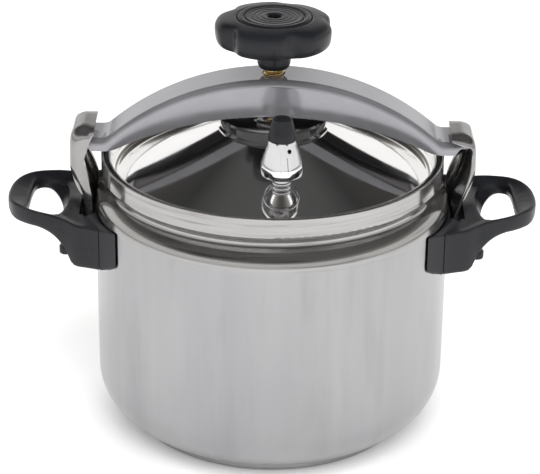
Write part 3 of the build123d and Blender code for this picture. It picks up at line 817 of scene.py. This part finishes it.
def cone_height(distance):
    """Height of the lid's cone at a distance from the axis."""
    start_height = crown_height - knee_radius * (1 - math.cos(lid_slope))
    return start_height - (distance - cone_start) * math.tan(lid_slope)


def lid_piece():
    axis = 0.02
    slope = math.degrees(lid_slope)
    knee = (crown_radius, crown_height - knee_radius)
    cone_end = lip_radius - heel_radius * (1 + math.sin(lid_slope))
    heel = (
        cone_end + heel_radius * math.sin(lid_slope),
        cone_height(cone_end) + heel_radius * math.cos(lid_slope),
    )
    rolled = lid_sheet / 2
    support = 0.5
    lip_foot = heel[1] + 0.6
    profile = [(axis, crown_height), (crown_radius - 0.6, crown_height)]
    profile += corner_arc(knee, knee_radius, 90, 90 - slope)
    profile += [
        (distance, cone_height(distance))
        for distance in (
            cone_start + support, cone_start + 18.0, cone_start + 36.0, cone_start + 54.0,
            cone_end - support,
        )
    ]
    profile += corner_arc(heel, heel_radius, -90 - slope, 0, 14)
    profile += [(lip_radius, lip_foot), (lip_radius, lip_top - rolled - 0.4)]
    profile += corner_arc((lip_radius + rolled, lip_top - rolled), rolled, 180, 0, 8)
    profile += [(lip_radius + lid_sheet, lip_foot)]
    profile += corner_arc(heel, heel_radius + lid_sheet, 0, -90 - slope, 14)
    profile += corner_arc(knee, knee_radius - lid_sheet, 90 - slope, 90)
    profile += [(axis, crown_height - lid_sheet)]
    add_piece("lid_form", turned("lid_form", profile, 240), "lid_shell")


def centre_of(node):
    """A node's middle seen from above, in mm."""
    low, high = extent(node)
    return ((low[0] + high[0]) / 2, (low[1] + high[1]) / 2)


def valve_dome(label, node, radius, neck, rise):
    """A polished dome standing out of the cone round a valve, with a thin raised ring where they meet."""
    centre = centre_of(node)
    out = math.hypot(*centre)
    foot, crest = cone_height(out + radius) - 1.5, cone_height(out) + rise
    bore, steps_down = neck - 0.8, 14
    profile = [(bore, foot), (bore, crest)]
    profile += [
        (neck + (radius - neck) * part / steps_down, crest - (crest - foot) * part / steps_down)
        for part in range(steps_down + 1)
    ]
    add_detail(f"{label}_dome", turned(f"{label}_dome", profile, 96, centre), "lid", "mirror_steel")

    bead, bead_radius = 0.55, radius + 0.35
    steps, steps_round_bead = 96, 10
    rings = []
    for step in range(steps):
        bearing = full_turn * step / steps
        ring = []
        for part in range(steps_round_bead):
            turn = full_turn * part / steps_round_bead
            distance = bead_radius + bead * math.cos(turn)
            x = centre[0] + distance * math.cos(bearing)
            y = centre[1] + distance * math.sin(bearing)
            z = cone_height(math.hypot(x, y)) + 0.1 + bead * math.sin(turn)
            ring.append((x * MM, y * MM, z * MM))
        rings.append(ring)
    mesh = loft(f"{label}_ring", rings, 60.0, ends="joined")
    add_detail(f"{label}_ring", mesh, "lid", "mirror_steel")


# ---- regulating valve: a faceted weight with dark windows, over a ringed stem ----
weight_sharpness = 22.0


def weight_piece():
    top = extent("valve_weight")[1][2]
    facets, facet_strength, round_above = 8, 0.45, 9.0

    def faceted(distance, height, bearing):
        if distance < round_above:
            return distance
        turn = full_turn / facets
        off = (bearing + math.pi / 2 + turn / 2) % turn - turn / 2
        flat = distance * math.cos(turn / 2) / math.cos(off)
        return distance + (flat - distance) * facet_strength

    bore, pin_hole = 5.15, 1.6
    widest = 14.3
    profile = [
        (bore, 207.4), (11.8, 206.8), (13.0, 206.9), (13.8, 207.6), (14.1, 208.8), (widest, 211.0),
        (widest, 213.4), (14.15, 214.4), (13.5, 216.6), (11.2, 223.3), (9.4, 228.6), (9.0, top - 0.7),
        (8.5, top), (pin_hole, top), (pin_hole, top - 2.6), (4.6, top - 3.4), (bore, top - 5.0),
    ]
    mesh = turned(
        "valve_weight_form", profile, 120, centre_of("valve_weight"), faceted, weight_sharpness,
    )
    weight = add_piece("valve_weight_form", mesh, "valve_weight")
    cut(weight, weight_openings(centre_of("valve_weight")))
    weight.data.set_sharp_from_angle(angle=math.radians(weight_sharpness))


def weight_openings(centre):
    """Four windows near the foot, one small round hole above them and two slots down the front."""
    form = bmesh.new()

    def spot(distance, bearing, height):
        return Vector((
            (centre[0] + distance * math.cos(bearing)) * MM,
            (centre[1] + distance * math.sin(bearing)) * MM,
            height * MM,
        ))

    def drill(place, bearing, tilt, radius, depth, segments, squash=1.0):
        heading = Vector((math.cos(bearing), math.sin(bearing), tilt))
        bmesh.ops.create_cone(
            form, cap_ends=True, segments=segments,
            radius1=radius * MM, radius2=radius * MM, depth=depth * MM,
            matrix=Matrix.Translation(place) @ heading.to_track_quat("Z", "Y").to_matrix().to_4x4()
            @ Matrix.Diagonal((1.0, squash, 1.0, 1.0)),
        )

    for degrees in (-135.0, -45.0, 45.0, 135.0):
        bearing = math.radians(degrees)
        window = spot(12.4, bearing, 210.2)
        drill(window, bearing, tilt=0.0, radius=2.4, depth=11.0, segments=32, squash=0.75)
    bearing = math.radians(-62.0)
    drill(spot(10.4, bearing, 226.2), bearing, tilt=0.3, radius=1.5, depth=13.0, segments=24)
    wall_lean = Matrix.Rotation(-0.33, 4, "Y")
    for degrees, base, length in ((-93.0, 213.0, 14.0), (-73.0, 213.5, 9.0)):
        bearing = math.radians(degrees)
        block(
            form, spot(11.9, bearing, base + length / 2), (5.0 * MM, 0.7 * MM, length * MM),
            Matrix.Rotation(bearing, 4, "Z") @ wall_lean,
        )
    return form


def stem_piece():
    low, high = extent("valve_stem")
    foot, tip = low[2], high[2]
    bore, pipe, waist = 1.5, 5.0, 5.2
    profile = [(bore, foot), (pipe, foot), (pipe, 192.5)]
    for bead in (194.6, 197.6, 200.6):
        profile += [
            (waist, bead - 0.6), (5.9, bead - 0.3), (6.2, bead + 0.3),
            (6.2, bead + 1.1), (5.8, bead + 1.7), (waist, bead + 1.9),
        ]
    profile += [(4.95, 203.2), (4.95, tip - 2.6), (3.2, tip), (bore, tip)]
    mesh = turned("valve_stem_form", profile, 64, centre_of("valve_weight"))
    add_piece("valve_stem_form", mesh, "valve_stem")


def cap_piece():
    low, high = extent("valve_cap")
    foot, tip = low[2], high[2]
    axis, pin_hole, recess = 0.02, 1.6, 3.2
    profile = [
        (pin_hole, foot), (8.6, foot), (9.0, foot + 0.5), (9.05, foot + 1.4), (7.9, foot + 7.5),
        (6.4, tip - 1.2), (6.2, tip - 0.3), (5.7, tip), (5.0, tip), (4.6, tip - 0.5), (axis, tip - 0.6),
        (axis, foot + 3.4), (recess, foot + 3.4), (recess, foot + 1.6), (pin_hole, foot + 1.6),
    ]
    mesh = turned("valve_cap_form", profile, 64, centre_of("valve_weight"))
    add_piece("valve_cap_form", mesh, "valve_cap")


clamp_bar_piece()
hook_piece("left", -1)
hook_piece("right", 1)
knob_piece()
knob_disc_piece()
thread_piece()
handle_piece("left", -1)
handle_piece("right", 1)
lid_piece()
valve_dome("valve", "valve_stem", radius=10.9, neck=5.6, rise=2.7)
valve_dome("relief", "relief_body", radius=11.5, neck=8.0, rise=2.5)
weight_piece()
stem_piece()
cap_piece()


# ---- studio: pale floor, white surroundings with a dark room above, soft light ----
def pale_floor():
    half, under_the_pot = 40.0, -0.0005
    mesh = bpy.data.meshes.new("floor")
    corners = [(-half, -half), (half, -half), (half, half), (-half, half)]
    mesh.from_pydata([(x, y, under_the_pot) for x, y in corners], [], [(0, 1, 2, 3)])
    floor = bpy.data.objects.new("floor", mesh)
    bpy.context.collection.objects.link(floor)
    surface = Surface("pale_floor", specular=0.2)
    clouds = surface.noise((2.0, 2.0, 2.0), detail=2.0)
    colour = surface.ramp(clouds, (0.3, (0.955, 0.955, 0.955)), (0.7, (0.965, 0.965, 0.965)))
    floor.data.materials.append(surface.finish(colour, surface.spread(clouds, 0.6, 0.7)))


def surroundings():
    """A room that is white low down, brownish 22 degrees above the horizon and nearly black overhead."""
    # Each band is (sine of its height above the horizon, brightness).
    bands = (
        (-1.0, 0.95), (0.0, 0.98), (0.36, 1.0), (0.378, 0.34), (0.45, 0.24), (0.53, 0.13),
        (0.58, 0.05), (0.80, 0.035), (0.90, 0.07), (1.0, 0.08),
    )
    brown, neutral = 0.12, 0.02
    world = bpy.data.worlds.new("studio")
    bpy.context.scene.world = world
    world.use_nodes = True
    tree = world.node_tree
    tree.nodes.clear()
    coordinates = tree.nodes.new("ShaderNodeTexCoord")
    axes = tree.nodes.new("ShaderNodeSeparateXYZ")
    tree.links.new(coordinates.outputs["Generated"], axes.inputs["Vector"])
    height = tree.nodes.new("ShaderNodeMapRange")
    height.inputs["From Min"].default_value = -1.0
    height.inputs["From Max"].default_value = 1.0
    tree.links.new(axes.outputs["Z"], height.inputs["Value"])
    sky = tree.nodes.new("ShaderNodeValToRGB")
    elements = sky.color_ramp.elements
    while len(elements) < len(bands):
        elements.new(0.5)
    for element, (sine, value) in zip(elements, bands):
        element.position = (sine + 1) / 2
        warmth = brown if 0.3 < sine < 0.6 and value < 0.9 else neutral
        element.color = (value, value * (1 - warmth / 2), value * (1 - warmth), 1.0)
    tree.links.new(height.outputs["Result"], sky.inputs["Fac"])
    room = tree.nodes.new("ShaderNodeBackground")
    tree.links.new(sky.outputs["Color"], room.inputs["Color"])
    backdrop = tree.nodes.new("ShaderNodeBackground")
    backdrop.inputs["Color"].default_value = (1.0, 1.0, 1.0, 1.0)
    path = tree.nodes.new("ShaderNodeLightPath")
    mix = tree.nodes.new("ShaderNodeMixShader")
    output = tree.nodes.new("ShaderNodeOutputWorld")
    tree.links.new(path.outputs["Is Camera Ray"], mix.inputs["Fac"])
    tree.links.new(room.outputs["Background"], mix.inputs[1])
    tree.links.new(backdrop.outputs["Background"], mix.inputs[2])
    tree.links.new(mix.outputs["Shader"], output.inputs["Surface"])


def soft_light(name, place, width, watts):
    """A square lamp aimed at the origin, which no polished surface mirrors."""
    lamp = bpy.data.lights.new(name, "AREA")
    lamp.shape = "SQUARE"
    lamp.size = width
    lamp.energy = watts
    item = bpy.data.objects.new(name, lamp)
    item.location = place
    item.rotation_euler = (-Vector(place)).to_track_quat("-Z", "Y").to_euler()
    item.visible_glossy = False
    bpy.context.collection.objects.link(item)


pale_floor()
surroundings()
soft_light("key", (1.2, -1.3, 2.1), width=2.6, watts=66.0)
soft_light("fill", (-1.4, -1.0, 2.0), width=2.6, watts=40.0)
soft_light("back", (0.0, 1.8, 2.1), width=2.6, watts=46.0)
soft_light("front", (0.0, -2.2, 1.5), width=2.2, watts=22.0)


# ---- camera: in front of the pot and above it, looking a little down ----
def place_camera():
    eye = (0.0, -1.26625, 0.71114)
    looks_down, roll = math.radians(24.49), math.radians(0.73)
    camera_data = bpy.data.cameras.new("camera")
    camera_data.lens = 135.0
    camera_data.sensor_width = 36.0
    camera_data.shift_x = -0.0033
    camera_data.shift_y = -0.0159
    camera_data.clip_start = 0.05
    camera_data.clip_end = 100.0
    camera = bpy.data.objects.new("camera", camera_data)
    bpy.context.collection.objects.link(camera)
    camera.location = eye
    camera.rotation_mode = "QUATERNION"
    camera.rotation_quaternion = (
        Matrix.Rotation(math.pi / 2 - looks_down, 3, "X") @ Matrix.Rotation(roll, 3, "Z")
    ).to_quaternion()
    bpy.context.scene.camera = camera


place_camera()
bpy.context.scene.view_settings.view_transform = "Standard"
bpy.context.scene.view_settings.look = "None"
